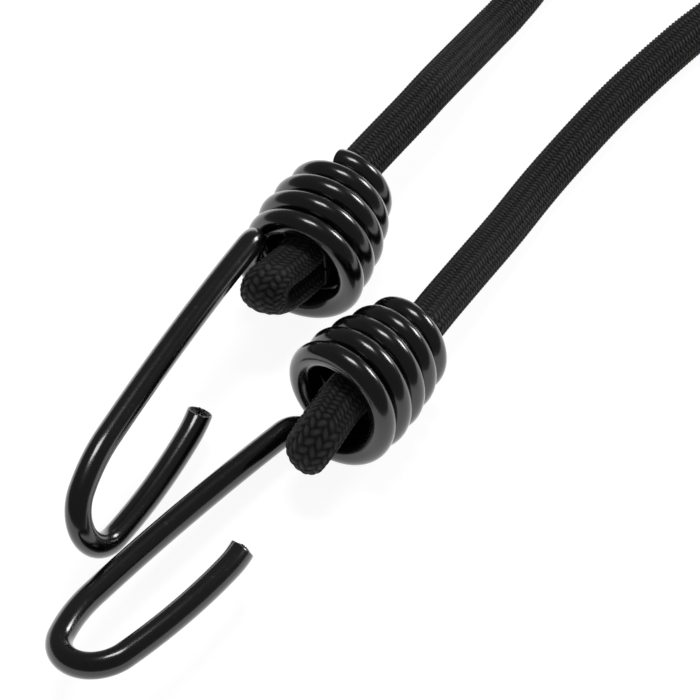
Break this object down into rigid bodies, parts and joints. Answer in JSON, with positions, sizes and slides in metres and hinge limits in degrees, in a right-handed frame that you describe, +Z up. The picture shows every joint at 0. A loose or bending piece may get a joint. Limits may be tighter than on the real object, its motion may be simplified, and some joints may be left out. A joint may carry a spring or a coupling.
{
  "type": "bungee cord",
  "caption": "Elastic bungee cord with a braided sheath and a coated wire hook at each end, wound onto the folded cord in a conical coil.",
  "frame": {"origin": "bottom centre of the box round the two hooks and the cord ends in them, on the surface that the cord lies on", "axes": "+Z up from that surface, +Y from the hooks along the doubled cord to its bend, +X to the right"},
  "size_m": [0.1449, 0.2779, 0.0246],
  "materials": {
    "braid": "fine black braid, slightly fuzzy",
    "rubber": "matte natural rubber",
    "clip": "dull plated sheet steel",
    "steel": "drawn steel wire, rough where it is cut",
    "coating": "glossy black dipped plastic"
  },
  "bodies": {
    "cord": {"cord_sheath": "braid", "cord_core": "rubber"},
    "end_a": {"end_a_sheath": "braid", "end_a_core": "rubber", "end_a_clip": "clip"},
    "hook_a": {"hook_a_wire": "steel", "hook_a_coating": "coating"},
    "end_b": {"end_b_sheath": "braid", "end_b_core": "rubber", "end_b_clip": "clip"},
    "hook_b": {"hook_b_wire": "steel", "hook_b_coating": "coating"}
  },
  "joints": [
    {"name": "stretch_a", "type": "slide", "parent": "cord", "child": "end_a", "axis": [-0.6428, -0.766, 0], "range_m": [0, 0.045], "stiffness_N_per_m": 700},
    {"name": "swivel_a", "type": "hinge", "parent": "end_a", "child": "hook_a", "pos_m": [0.00725, 0.02955, 0.012], "axis": [-0.4018, -0.9153, -0.0297], "range_deg": [-10, 40]},
    {"name": "stretch_b", "type": "slide", "parent": "cord", "child": "end_b", "axis": [-0.5446, -0.8387, 0], "range_m": [0, 0.045], "stiffness_N_per_m": 700},
    {"name": "swivel_b", "type": "hinge", "parent": "end_b", "child": "hook_b", "pos_m": [0.0139, -0.003, 0.013], "axis": [-0.5902, -0.8005, 0.1045], "continuous": true}
  ]
}
